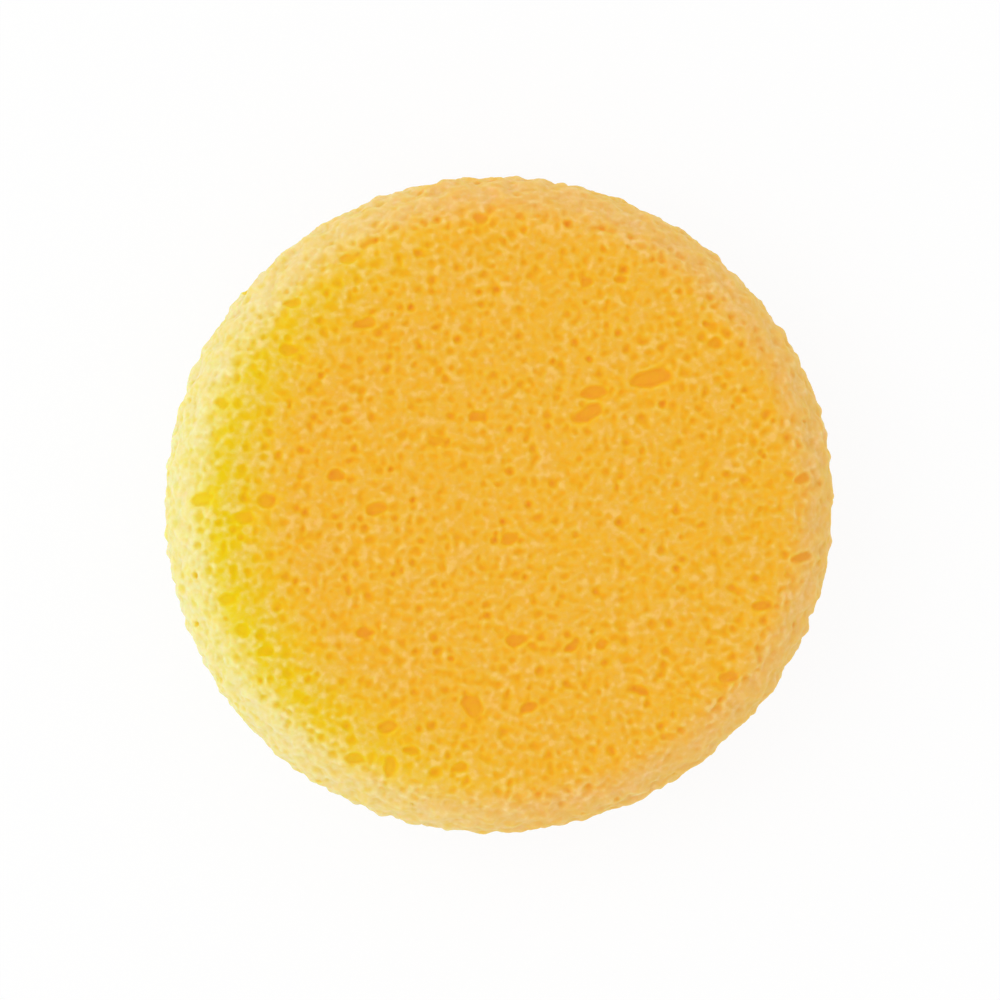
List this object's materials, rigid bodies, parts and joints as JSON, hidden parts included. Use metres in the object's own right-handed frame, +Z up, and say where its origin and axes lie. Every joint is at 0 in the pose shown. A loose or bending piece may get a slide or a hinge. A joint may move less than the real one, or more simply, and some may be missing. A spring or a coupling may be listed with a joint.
{
  "type": "round makeup sponge",
  "caption": "Round disc of open-cell yellow foam with soft rounded shoulders, pressed on the skin by hand to lay on and blend makeup or face paint.",
  "frame": {"origin": "middle of the lower flat face, at the height of the surface that the sponge lies on", "axes": "+Z up along the disc's axis and out of the face that the picture shows, +X to the right of that picture and +Y to its top"},
  "size_m": [0.0757, 0.0742, 0.025],
  "materials": {
    "open_cell_foam": "matte"
  },
  "bodies": {
    "root": {"foam_disc": "open_cell_foam"}
  },
  "joints": []
}
